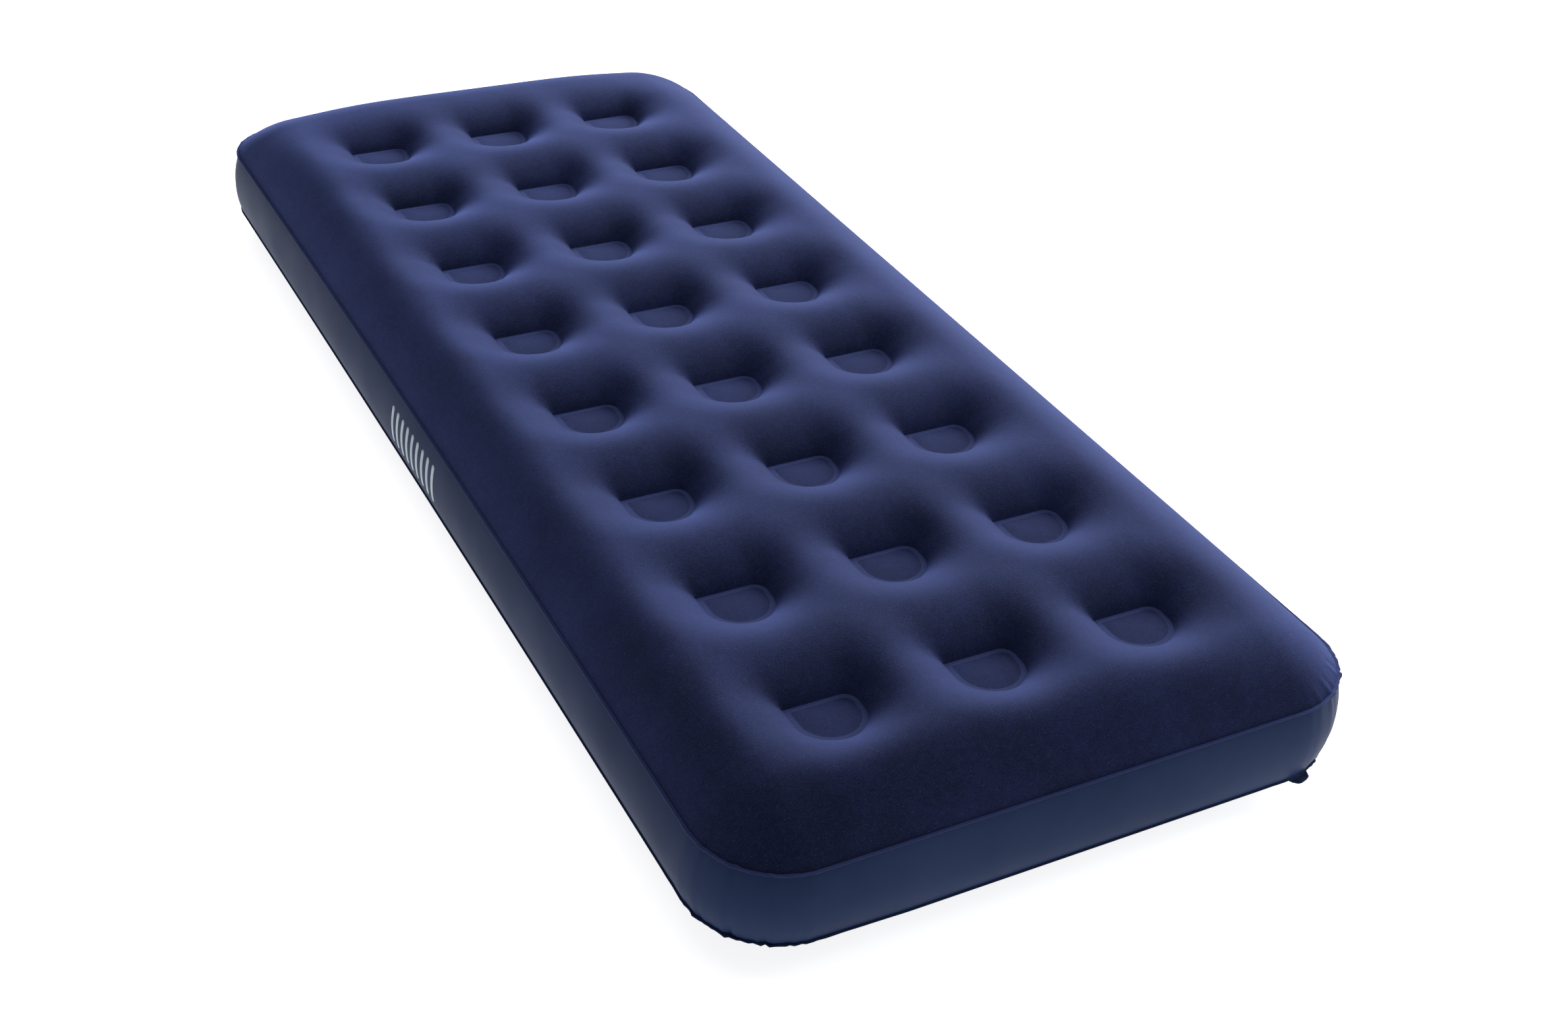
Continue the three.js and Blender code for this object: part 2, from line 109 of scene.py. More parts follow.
# ---- How the bed stands: its left side is drawn in a little, and its foot end sags a little ----
DRAWN_TOP = 12 * MM
DRAWN_BOTTOM = 6 * MM
DRAWN_REACH = 150 * MM
FOOT_SAG = 6 * MM
FOOT_REACH = 170 * MM

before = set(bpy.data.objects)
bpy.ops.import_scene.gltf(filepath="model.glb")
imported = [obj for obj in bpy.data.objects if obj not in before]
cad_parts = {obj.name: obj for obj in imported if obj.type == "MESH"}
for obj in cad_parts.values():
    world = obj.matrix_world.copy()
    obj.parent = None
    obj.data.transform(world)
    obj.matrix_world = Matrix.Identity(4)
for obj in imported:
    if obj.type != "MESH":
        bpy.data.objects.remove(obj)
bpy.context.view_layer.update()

# ---- Places that the frame gives ----
sheet_low, sheet_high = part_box("top_sheet")
MID_Y = (sheet_low.y + sheet_high.y) / 2
HALF_WIDTH = (sheet_high.x - sheet_low.x) / 2 - LIP
HALF_LENGTH = (sheet_high.y - sheet_low.y) / 2 - LIP
TOP_SEAM_Z = sheet_low.z + CAD_FILM

wall_low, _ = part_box("side_wall")
BOTTOM_SEAM_Z = wall_low.z - CAD_FILM - CAD_GAP

WELD_BOXES = [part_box(name) for name in sorted(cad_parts) if name.startswith("coil_beam")]
WELD_CENTRES = np.array([[(lo.x + hi.x) / 2, (lo.y + hi.y) / 2] for lo, hi in WELD_BOXES])
WELD_HALF_WIDTH = (WELD_BOXES[0][1].x - WELD_BOXES[0][0].x) / 2
WELD_HALF_DEPTH = (WELD_BOXES[0][1].y - WELD_BOXES[0][0].y) / 2
WELD_TOP_Z = WELD_BOXES[0][1].z + CAD_FILM + CAD_GAP
WELD_BOTTOM_Z = WELD_BOXES[0][0].z - CAD_FILM - CAD_GAP


# ---- Node materials ----


class Look:
    """A Principled material and short ways to add nodes to it."""

    def __init__(self, name, **values):
        self.material = bpy.data.materials.new(name)
        self.material.use_nodes = True
        self.tree = self.material.node_tree
        self.shader = self.tree.nodes["Principled BSDF"]
        for socket, value in values.items():
            self.shader.inputs[socket.replace("_", " ")].default_value = value

    def node(self, kind, **values):
        made = self.tree.nodes.new(kind)
        for key, value in values.items():
            socket = made.inputs.get(key.replace("_", " "))
            if socket is not None:
                socket.default_value = value
            else:
                setattr(made, key, value)
        return made

    def link(self, source, target):
        self.tree.links.new(source, target)

    def place(self, scale=(1, 1, 1)):
        """The point's place on the object, in metres, stretched by scale."""
        coords = self.node("ShaderNodeTexCoord")
        mapping = self.node("ShaderNodeMapping")
        mapping.inputs["Scale"].default_value = scale
        self.link(coords.outputs["Object"], mapping.inputs["Vector"])
        return mapping.outputs["Vector"]

    def noise(self, scale, detail=2.0, roughness=0.5, stretch=(1, 1, 1)):
        made = self.node("ShaderNodeTexNoise", Scale=scale, Detail=detail, Roughness=roughness)
        self.link(self.place(stretch), made.inputs["Vector"])
        return made.outputs["Fac"]

    def ramp(self, value, stops):
        made = self.node("ShaderNodeValToRGB")
        elements = made.color_ramp.elements
        while len(elements) < len(stops):
            elements.new(0.5)
        for element, (place, colour) in zip(elements, stops):
            element.position = place
            element.color = (*colour, 1) if hasattr(colour, "__len__") else (colour,) * 3 + (1,)
        self.link(value, made.inputs["Fac"])
        return made.outputs["Color"]

    def mix(self, share, low, high, blend="MIX"):
        """A mix of two colours. Each is a colour or another node's output, as is the share."""
        made = self.node("ShaderNodeMix", data_type="RGBA", blend_type=blend)
        for socket, value in ((0, share), (6, low), (7, high)):
            if hasattr(value, "is_output"):
                self.link(value, made.inputs[socket])
            elif socket == 0:
                made.inputs[socket].default_value = value
            else:
                made.inputs[socket].default_value = (*value, 1)
        return made.outputs[2]

    def colour(self, output):
        self.link(output, self.shader.inputs["Base Color"])

    def roughness(self, value, low, high):
        made = self.node("ShaderNodeMapRange")
        made.inputs["To Min"].default_value = low
        made.inputs["To Max"].default_value = high
        self.link(value, made.inputs["Value"])
        self.link(made.outputs["Result"], self.shader.inputs["Roughness"])

    def bump(self, *layers):
        """Layers of (height output, depth in metres), added up."""
        normal = None
        for height, depth in layers:
            made = self.node("ShaderNodeBump", Strength=1.0, Distance=depth)
            self.link(height, made.inputs["Height"])
            if normal is not None:
                self.link(normal, made.inputs["Normal"])
            normal = made.outputs["Normal"]
        self.link(normal, self.shader.inputs["Normal"])


LINT_COLOUR = (0.09, 0.11, 0.22)


def lint(look, colour, cell_scale=330, speck=0.08, brightest=0.68):
    """Tiny pale specks scattered over a colour. Of many small cells, each with a colour of its
    own, only the brightest hold one."""
    cells = look.node("ShaderNodeTexVoronoi", Scale=cell_scale)
    look.link(look.place(), cells.inputs["Vector"])
    chosen = look.ramp(cells.outputs["Color"], [(brightest, 0.0), (brightest + 0.01, 1.0)])
    near = look.ramp(cells.outputs["Distance"], [(speck, 1.0), (speck * 1.6, 0.0)])
    both = look.mix(1.0, near, chosen, "MULTIPLY")
    return look.mix(both, colour, LINT_COLOUR)


def flock_look(name, dark, light, sheen):
    """Velvet flock: dark where it is seen straight on, and bright along its grazing slopes."""
    look = Look(
        name,
        Roughness=0.92,
        Specular_IOR_Level=0.05,
        Sheen_Weight=sheen,
        Sheen_Roughness=0.5,
        Sheen_Tint=(0.14, 0.195, 0.54, 1),
    )
    brushed = look.noise(13, 4.0, 0.6, (1, 0.7, 1))
    mottle = look.noise(120, 5.0, 0.75)
    grain = look.noise(620, 2.0, 0.7)
    nap = look.mix(0.5, look.mix(0.45, brushed, mottle), grain)
    base = look.ramp(nap, [(0.42, dark), (0.58, light)])
    look.colour(lint(look, base))
    look.bump((grain, 0.25 * MM), (look.noise(1900, 1.0), 0.12 * MM))
    return look.material


def film_look(name, low, high, rough, streak=0.12):
    """Smooth calendered vinyl film: satin, faintly streaked, with a very fine orange peel."""
    look = Look(name, Specular_IOR_Level=0.042)
    cloudy = look.noise(9, 4.0, 0.55)
    streaky = look.noise(60, 2.0, 0.5, (1, 1, 14))
    tone = look.mix(streak, cloudy, streaky)
    look.colour(look.ramp(tone, [(0.35, low), (0.65, high)]))
    look.roughness(look.noise(24, 3.0, 0.6), rough - 0.05, rough + 0.07)
    look.bump((look.noise(700, 2.0), 0.02 * MM), (look.noise(38, 2.0), 0.12 * MM))
    return look.material


def plastic_look(name, low, high, rough):
    """Moulded plastic with a fine spark-eroded texture."""
    look = Look(name, Specular_IOR_Level=0.3)
    look.colour(look.ramp(look.noise(140, 3.0, 0.6), [(0.35, low), (0.65, high)]))
    look.roughness(look.noise(420, 2.0, 0.6), rough - 0.05, rough + 0.08)
    look.bump((look.noise(2600, 2.0, 0.6), 0.03 * MM))
    return look.material


FLOCK = flock_look("velvet_flock", (0.0076, 0.0098, 0.026), (0.0172, 0.0228, 0.072), 0.78)
PRESSED_FLOCK = flock_look("pressed_flock", (0.029, 0.037, 0.102), (0.036, 0.046, 0.122), 0.9)
WALL_FILM = film_look("satin_wall_film", (0.0160, 0.030, 0.082), (0.0205, 0.0365, 0.097), 0.48)
UNDER_FILM = film_look("matt_underside_film", (0.006, 0.009, 0.036), (0.009, 0.013, 0.048), 0.6)
BEAM_FILM = film_look("beam_film", (0.040, 0.052, 0.12), (0.055, 0.07, 0.155), 0.5)
MOULDED = plastic_look("moulded_valve_plastic", (0.010, 0.016, 0.060), (0.014, 0.022, 0.075), 0.4)
SOFT_VINYL = plastic_look("soft_strap_vinyl", (0.012, 0.019, 0.066), (0.017, 0.026, 0.082), 0.5)
RUBBER = plastic_look("seal_rubber", (0.009, 0.009, 0.011), (0.014, 0.014, 0.016), 0.72)
SILICONE = plastic_look("flap_silicone", (0.42, 0.44, 0.5), (0.55, 0.57, 0.62), 0.5)
PALE_PRINT = film_look("pale_print_ink", (0.50, 0.60, 0.66), (0.60, 0.69, 0.74), 0.5)


# ---- Meshes ----


def piece(name, points, faces, materials, body, nodes, sharp_angle=50):
    """A smooth-shaded mesh object that rides on a body and stands for some CAD nodes."""
    mesh = bpy.data.meshes.new(name)
    mesh.from_pydata(np.asarray(points).tolist(), [], [list(map(int, f)) for f in faces])
    mesh.validate()
    for material in materials:
        mesh.materials.append(material)
    mesh.shade_smooth()
    mesh.set_sharp_from_angle(angle=math.radians(sharp_angle))
    made = bpy.data.objects.new(name, mesh)
    bpy.context.scene.collection.objects.link(made)
    if body:
        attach(made, body)
    if nodes:
        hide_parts(*nodes)
    return made


def thicken(made, thickness):
    """Gives a single-layer mesh its film thickness, on the side away from its normals."""
    modifier = made.modifiers.new("film_thickness", "SOLIDIFY")
    modifier.thickness = thickness
    modifier.offset = -1
    return made


# ---- The seam in plan ----


def seam_frame(plan):
    """Where plan points are: distance outside the seam, outward direction, nearest corner's
    number, and the distance along the seam from that corner's middle."""
    offset = plan - np.array([0, MID_Y])
    sign = np.where(offset < 0, -1.0, 1.0)
    across = np.abs(offset[:, 0]) - (HALF_WIDTH - SEAM_CORNER)
    along = np.abs(offset[:, 1]) - (HALF_LENGTH - SEAM_CORNER)
    in_corner = (across > 0) & (along > 0)
    radius = np.hypot(across, along)
    outside = np.where(in_corner, radius, np.maximum(across, along)) - SEAM_CORNER
    radial = np.stack([across, along], 1) / np.maximum(radius, 1e-9)[:, None]
    nearest_side = np.where((across > along)[:, None], np.array([1.0, 0.0]), np.array([0.0, 1.0]))
    direction = np.where(in_corner[:, None], radial, nearest_side) * sign
    quarter = SEAM_CORNER * math.pi / 4
    on_arc = np.arctan2(along, across) * SEAM_CORNER - quarter
    on_side = np.where(across > along, along - quarter, quarter - across)
    place = np.where(in_corner, on_arc, on_side)
    corner = (sign[:, 0] > 0) * 1 + (sign[:, 1] > 0) * 2
    return outside, direction, corner, place


def seam_stations():
    """Points round the seam, counter-clockwise from the foot end's right corner, close
    together on the corners, as an array of x, y, outward x and outward y."""
    stations = []
    corner_count = round(SEAM_CORNER * math.pi / 2 / CORNER_SPACING)
    centre_x, centre_y = HALF_WIDTH - SEAM_CORNER, HALF_LENGTH - SEAM_CORNER
    signs = ((1, -1), (1, 1), (-1, 1), (-1, -1))
    for turn, (sx, sy) in enumerate(signs):
        for step in range(corner_count + 1):
            angle = (turn - 1 + step / corner_count) * math.pi / 2
            nx, ny = math.cos(angle), math.sin(angle)
            x, y = sx * centre_x + nx * SEAM_CORNER, sy * centre_y + ny * SEAM_CORNER
            stations.append((x, MID_Y + y, nx, ny))
        length = 2 * (centre_y if turn % 2 == 0 else centre_x)
        side_count = round(length / SIDE_SPACING)
        start = stations[-1]
        for step in range(1, side_count):
            shift = length * step / side_count
            x, y = start[0] - start[3] * shift, start[1] + start[2] * shift
            stations.append((x, y, start[2], start[3]))
    return np.array(stations)


STATIONS = seam_stations()


# ---- Gathers: the film crumples a little where it is welded round a corner ----


def gather_waves(place, corner, strengths, shift=0.0, finer=1.0):
    waves = sum(
        np.sin(2 * math.pi * place * finer / length + phase + shift + 1.7 * corner)
        for length, phase in GATHER_WAVES
    )
    window = np.exp(-((place / GATHER_SPREAD) ** 2))
    return waves / len(GATHER_WAVES) * np.array(strengths)[corner] * window


def gathered(points, seam_z, strengths, lip):
    """Moves points near one seam: the lip leans, curls and is scalloped, the seam line wanders,
    and small puckers run from it into the film."""
    outside, direction, corner, place = seam_frame(points[:, :2])
    from_seam = np.abs(points[:, 2] - seam_z)
    on_lip = np.clip(outside / LIP, 0, 1) * (from_seam < 2 * MM)
    width, lean = lip
    seam_wave = gather_waves(place, corner, strengths)
    lip_wave = gather_waves(place, corner, strengths, 0.9)
    fine_wave = gather_waves(place, corner, strengths, 2.1, 1.6)
    reach = np.hypot(from_seam, np.minimum(outside, 0))
    shift = SEAM_SHIFT * seam_wave * np.exp(-reach / (2 * PUCKER_REACH))
    shift = shift + (width - LIP + LIP_SCALLOP * np.abs(lip_wave)) * on_lip
    pucker = PUCKER * fine_wave * np.exp(-reach / PUCKER_REACH) * (1 - np.exp(-reach / (3 * MM)))
    moved = points.copy()
    moved[:, :2] += direction * (shift + pucker)[:, None]
    moved[:, 2] += (LIP_CURL * lip_wave + lean) * on_lip + 0.6 * pucker
    return moved


def tabbed(points, seam_z):
    """Pulls a short length of the bottom lip out into a tab that hangs a little."""
    outside, direction, corner, place = seam_frame(points[:, :2])
    on_lip = np.clip(outside / LIP, 0, 1) * (np.abs(points[:, 2] - seam_z) < 3 * MM)
    along = np.clip(np.abs(place - TAB_PLACE) / TAB_WIDTH, 0, 1)
    pull = TAB_REACH * np.sqrt(1 - along**2) * on_lip * (corner == 1)
    moved = points.copy()
    moved[:, :2] += direction * (0.8 * pull)[:, None]
    moved[:, 2] -= 0.5 * pull
    return moved


def standing(points):
    """Draws in the left side, most at its middle, and lowers the foot end's bottom seam."""
    x, y, z = points.T
    height = np.clip((z - BOTTOM_SEAM_Z) / (TOP_SEAM_Z - BOTTOM_SEAM_Z), 0, 1)
    leftmost = np.clip(1 - (x + HALF_WIDTH) / DRAWN_REACH, 0, 1) ** 1.5
    middle = 1 - 0.45 * ((y - MID_Y) / HALF_LENGTH) ** 2
    drawn = DRAWN_BOTTOM + (DRAWN_TOP - DRAWN_BOTTOM) * height
    at_foot = np.clip(1 - (y - MID_Y + HALF_LENGTH) / FOOT_REACH, 0, 1) ** 2
    sag = FOOT_SAG * at_foot * np.clip((x + HALF_WIDTH) / FOOT_REACH - 0.2, 0, 1)
    lowered = np.maximum(z - sag * (1 - height), np.minimum(z, 0))
    return np.column_stack([x + drawn * leftmost * middle, y, lowered])


# ---- The D-shaped weld in plan ----


def weld_edge(spacing):
    """The weld's outer edge about its box's centre, counter-clockwise from its sharp corner
    at the head's left, as points and outward directions."""
    half_width, half_depth = WELD_HALF_WIDTH, WELD_HALF_DEPTH
    round_y = -half_depth + 2 * half_depth * WELD_ROUND_SHARE
    round_depth = half_depth + round_y
    path = [(-half_width, half_depth), (-half_width, round_y)]
    for step in range(1, 60):
        angle = math.pi * (1 + step / 60)
        path.append((half_width * math.cos(angle), round_y + round_depth * math.sin(angle)))
    path.append((half_width, round_y))
    for step in range(13):
        angle = math.pi / 2 * step / 12
        path.append(
            (
                half_width - WELD_FILLET * (1 - math.cos(angle)),
                half_depth - WELD_FILLET * (1 - math.sin(angle)),
            )
        )
    path = np.array(path + [path[0]])
    return resample(path, spacing, closed=True)


def resample(path, spacing, closed=False):
    """Evenly spaced points along a polyline. A closed one repeats its first point at its end."""
    lengths = np.hypot(*np.diff(path, axis=0).T)
    reached = np.r_[0, np.cumsum(lengths)]
    count = max(8, round(reached[-1] / spacing))
    wanted = np.linspace(0, reached[-1], count + 1)[: count if closed else None]
    return np.stack([np.interp(wanted, reached, path[:, k]) for k in (0, 1)], 1)


WELD_EDGE = weld_edge(1.2 * MM)
_next_points = np.roll(WELD_EDGE, -1, axis=0)
_tangents = _next_points - WELD_EDGE
_tangents /= np.hypot(*_tangents.T)[:, None]
WELD_NORMALS = np.stack([_tangents[:, 1], -_tangents[:, 0]], 1)


def weld_distance(plan):
    """Distance outside the nearest weld's outer edge, negative inside it."""
    nearest = np.argmin(((plan[:, None, :] - WELD_CENTRES[None]) ** 2).sum(2), axis=1)
    local = plan - WELD_CENTRES[nearest]
    return (local @ WELD_NORMALS.T - (WELD_EDGE * WELD_NORMALS).sum(1)).max(1)


def weld_ring(offset, spacing):
    """A ring that far outside the weld's edge, or inside it where offset is negative."""
    fan = np.linspace(0, 1, 9)[:, None]
    first, last = WELD_NORMALS[0], WELD_NORMALS[-1]
    turned = first * fan[::-1] + last * fan
    turned /= np.hypot(*turned.T)[:, None]
    corner = WELD_EDGE[0] + turned[::-1] * offset
    middles = (WELD_EDGE + _next_points) / 2
    ring = np.concatenate([corner, middles + WELD_NORMALS * offset])
    if offset < 0:
        depth = (ring @ WELD_NORMALS.T - (WELD_EDGE * WELD_NORMALS).sum(1)).max(1)
        ring = ring[depth < offset + 0.02 * MM]
    return resample(np.concatenate([ring, ring[:1]]), spacing, closed=True)


# ---- The membranes ----


def plan_mesh(lattice, fineness):
    """Points in plan and the triangles between them, fine round the welds and the seam."""
    points, edges = [], []

    def loop(ring, constrained):
        start = len(points)
        points.extend(map(tuple, ring))
        if constrained:
            count = len(ring)
            edges.extend((start + k, start + (k + 1) % count) for k in range(count))

    for outward in LIP_RINGS:
        loop(STATIONS[:, :2] + STATIONS[:, 2:] * outward, outward == LIP)
    for level, inward in enumerate(BORDER_RINGS):
        every = 1 if level < FINE_BORDER_RINGS else 2
        stations = STATIONS[::every]
        loop(stations[:, :2] - stations[:, 2:] * inward, inward == 0)

    rings = [(0.0, 3.2 * MM, True), (-WELD_TRACK, 3.2 * MM, True), (-WELD_TRACK / 2, 4 * MM, False)]
    rings += [(d, 3.4 * MM + 0.25 * d, False) for d in WELD_RINGS]
    rings += [(-WELD_TRACK - d, 3.4 * MM + 0.35 * d, False) for d in INSIDE_RINGS]
    shapes = [(weld_ring(offset, gap * fineness), tied) for offset, gap, tied in rings]
    for centre in WELD_CENTRES:
        for ring, tied in shapes:
            loop(ring + centre, tied)

    points.extend(map(tuple, lattice_points(lattice)))
    vectors = [Vector(p) for p in points]
    made = delaunay_2d_cdt(vectors, edges, [], 0, 1e-7)
    plan = np.array([tuple(v) for v in made[0]])
    triangles = np.array(made[2])
    a, b, c = (plan[triangles[:, k]] for k in range(3))
    area = np.cross(b - a, c - a)
    triangles[area < 0] = triangles[area < 0][:, ::-1]
    return plan, triangles[np.abs(area) > 1e-12]


def lattice_points(spacing):
    """A triangular lattice between the rings of the seam and those of the welds."""
    rows = []
    row_gap = spacing * math.sqrt(3) / 2
    for row in range(int(2 * HALF_LENGTH / row_gap) + 1):
        x = np.arange(-HALF_WIDTH, HALF_WIDTH, spacing) + (row % 2) * spacing / 2
        y = np.full_like(x, MID_Y - HALF_LENGTH + row * row_gap)
        rows.append(np.stack([x, y], 1))
    lattice = np.concatenate(rows)
    outside = seam_frame(lattice)[0]
    weld = weld_distance(lattice)
    clear_of_seam = outside < -BORDER_RINGS[-1] - RING_GAP
    outside_weld = weld > WELD_RINGS[-1] + RING_GAP
    inside_weld = weld < -WELD_TRACK - INSIDE_RINGS[-1] - RING_GAP
    return lattice[clear_of_seam & (outside_weld | inside_weld)]


def crown(inward, reach, power):
    """0 at the seam, and 1 from some reach inward."""
    return (1 - (1 - np.clip(inward / reach, 0, 1)) ** 2) ** power


def corner_share(plan):
    """1 at a corner of the seam, falling to 0 away from it."""
    inset = SEAM_CORNER * (1 - math.sqrt(0.5))
    across = HALF_WIDTH - inset - np.abs(plan[:, 0])
    along = HALF_LENGTH - inset - np.abs(plan[:, 1] - MID_Y)
    return np.exp(-(across**2 + along**2) / CORNER_REACH**2)


def bowls(plan):
    """Depth of the bowls round the welds, 1 at a weld's edge and 0 beyond their reach. Bowls
    that overlap run into one another."""
    spared = np.ones(len(plan))
    for centre in WELD_CENTRES:
        local = plan - centre
        near = np.hypot(*local.T) < BOWL_REACH + 2 * WELD_HALF_WIDTH
        gaps = np.hypot(*(local[near][:, None, :] - WELD_EDGE[None]).transpose(2, 0, 1)).min(1)
        gaps = np.where(weld_distance(plan[near]) > 0, gaps, 0)
        headward = local[near][:, 1] / np.maximum(np.hypot(*local[near].T), MM)
        reach = BOWL_REACH * (1 + BOWL_LEAN * headward)
        share = np.clip(1 - gaps / reach, 0, 1) ** BOWL_POWER
        spared[near] *= 1 - share
    return 1 - spared


class Membrane:
    """One sheet in plan, and how its points lie to the seam and the welds."""

    def __init__(self, lattice, fineness):
        self.plan, self.triangles = plan_mesh(lattice, fineness)
        self.outside, *_ = seam_frame(self.plan)
        self.weld = weld_distance(self.plan)
        self.on_lip = self.outside > -0.05 * MM
        self.on_weld = (self.weld < 0.05 * MM) & (self.weld > -WELD_TRACK - 0.05 * MM)
        self.bowls = bowls(self.plan)

    def rise(self, crest, reach, power, weld_rise):
        """Rise over the seam: a crown, with a bowl and a steep last step down to each weld."""
        past_step = 1 - np.exp(-np.maximum(self.weld, 0) / WELD_STEP_REACH)
        full = crest * (1 - CORNER_DROP * corner_share(self.plan))
        over_weld = full * crown(-self.outside, reach, power) - weld_rise - WELD_STEP
        return weld_rise + over_weld * (1 - self.bowls) + WELD_STEP * past_step

    def puff(self):
        """1 in the middle of a weld, falling to 0 at its track."""
        depth = np.maximum(-self.weld - WELD_TRACK, 0) / (WELD_HALF_DEPTH - WELD_TRACK)
        return np.sin(math.pi / 2 * np.clip(depth, 0, 1))

    def unevenness(self):
        """A slow, faint wave over the whole sheet, still at the seam and the welds."""
        x, y = (self.plan / (70 * MM)).T
        wave = np.sin(x + 0.6 * np.sin(0.7 * y)) * np.sin(0.8 * y + 1.1 + 0.5 * np.sin(1.3 * x))
        free = crown(-self.outside, 120 * MM, 1) * np.clip(self.weld / (40 * MM), 0, 1)
        return wave * free

    def pressed_faces(self):
        """Which triangles lie in the tracks of the welds, or in the lip at the seam."""
        return (self.on_weld | self.on_lip)[self.triangles].all(1)


def top_membrane(membrane):
    rise = membrane.rise(CREST, CROWN_REACH, CROWN_POWER, WELD_TOP_Z - TOP_SEAM_Z)
    rise += WELD_PUFF * membrane.puff() + UNEVEN * membrane.unevenness()
    points = np.column_stack([membrane.plan, TOP_SEAM_Z + rise])
    points = standing(gathered(points, TOP_SEAM_Z, TOP_GATHER, TOP_LIP))
    made = piece(
        "top_sheet_film",
        points,
        membrane.triangles,
        [FLOCK, PRESSED_FLOCK],
        "mattress",
        ["top_sheet"],
        30,
    )
    pressed = membrane.pressed_faces().astype(np.int32)
    made.data.polygons.foreach_set("material_index", pressed)
    return thicken(made, FILM)


def bottom_membrane(membrane):
    weld_drop = BOTTOM_SEAM_Z - WELD_BOTTOM_Z
    drop = membrane.rise(BOTTOM_SEAM_Z, UNDER_REACH, UNDER_POWER, weld_drop)
    points = np.column_stack([membrane.plan, BOTTOM_SEAM_Z - drop])
    points = tabbed(points, BOTTOM_SEAM_Z)
    points = standing(gathered(points, BOTTOM_SEAM_Z, BOTTOM_GATHER, BOTTOM_LIP))
    points[:, 2] = np.maximum(points[:, 2], 0)
    made = piece(
        "bottom_sheet_film",
        points,
        membrane.triangles[:, ::-1],
        [UNDER_FILM],
        "mattress",
        ["bottom_sheet"],
        80,
    )
    return thicken(made, FILM)


# ---- The side wall ----

WALL_LOW = BOTTOM_SEAM_Z + 2 * FILM + 0.1 * MM
WALL_TOP = TOP_SEAM_Z - 2 * FILM - 0.1 * MM
CALM_REACH = 70 * MM  # the rigid valve keeps the wall even round it

panel_low, panel_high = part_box("valve_panel")
insert_low, insert_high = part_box("valve_insert")
VALVE_PLACE = (
    (insert_low.x + insert_high.x) / 2,
    panel_high.y,
    (insert_low.z + insert_high.z) / 2,
)


def wall_out(z):
    """How far the wall bulges out at a height."""
    half = (WALL_TOP - WALL_LOW) / 2
    radius = (half**2 + WALL_BULGE**2) / (2 * WALL_BULGE)
    height = np.clip(z - (WALL_LOW + half), -half, half)
    return np.sqrt(radius**2 - height**2) - (radius - WALL_BULGE)


def wall_section():
    """The wall and its two lips as (outward, z), from the bottom lip's edge to the top one's."""
    heights = np.linspace(WALL_LOW, WALL_TOP, WALL_STEPS + 1)
    section = [(out, WALL_LOW) for out in reversed(LIP_RINGS)]
    section += list(zip(wall_out(heights), heights))
    section += [(out, WALL_TOP) for out in LIP_RINGS]
    return np.array(section)


def settle_wall(points):
    """Moves points of the wall as the seams' gathers, the tab, a faint unevenness and the way
    the bed stands ask."""
    points = gathered(points, WALL_TOP, TOP_GATHER, TOP_LIP)
    points = gathered(tabbed(points, WALL_LOW), WALL_LOW, BOTTOM_GATHER, BOTTOM_LIP)
    _, direction, _, place = seam_frame(points[:, :2])
    height = (points[:, 2] - WALL_LOW) / (WALL_TOP - WALL_LOW)
    swell = np.sin(math.pi * np.clip(height, 0, 1)) ** 2
    from_valve = np.linalg.norm(points - np.array(VALVE_PLACE), axis=1)
    away = 1 - np.exp(-((from_valve / CALM_REACH) ** 2))
    uneven = 0.5 * MM * np.sin(place / (58 * MM)) + 0.35 * MM * np.sin(place / (23 * MM) + 1.3)
    points[:, :2] += direction * (uneven * swell * away)[:, None]
    return standing(points)


def strip_faces(rows, columns, closed=False):
    """Quads of a grid whose points are stored row after row."""
    faces = []
    for row in range(rows if closed else rows - 1):
        after = (row + 1) % rows
        for column in range(columns - 1):
            faces.append(
                (
                    row * columns + column,
                    after * columns + column,
                    after * columns + column + 1,
                    row * columns + column + 1,
                )
            )
    return faces


def side_wall():
    at_head = STATIONS[:, 3] > 0.99
    in_panel = at_head & (STATIONS[:, 0] > panel_low.x) & (STATIONS[:, 0] < panel_high.x)
    first = np.flatnonzero(in_panel).max() + 1
    kept = np.roll(STATIONS, -first, axis=0)[: len(STATIONS) - in_panel.sum()]
    head_y = MID_Y + HALF_LENGTH
    ends = [(panel_low.x, head_y, 0, 1), (panel_high.x, head_y, 0, 1)]
    kept = np.concatenate([[ends[0]], kept, [ends[1]]])
    section = wall_section()
    points = np.concatenate(
        [
            np.column_stack([s[0] + s[2] * section[:, 0], s[1] + s[3] * section[:, 0], section[:, 1]])
            for s in kept
        ]
    )
    faces = strip_faces(len(kept), len(section))
    made = piece(
        "side_wall_film",
        settle_wall(points),
        faces,
        [WALL_FILM],
        "mattress",
        ["side_wall"],
        60,
    )
    return thicken(made, FILM)


# ---- Flat shapes cut from a sheet ----


def within(points, loop):
    """Which points lie inside a closed loop."""
    start, end = np.asarray(loop), np.roll(loop, -1, axis=0)
    x, y = points[:, :1], points[:, 1:]
    crosses = (start[:, 1] > y) != (end[:, 1] > y)
    drop = np.where(crosses, end[:, 1] - start[:, 1], 1)
    meets = start[:, 0] + (y - start[:, 1]) * (end[:, 0] - start[:, 0]) / drop
    return (crosses & (x < meets)).sum(1) % 2 == 1


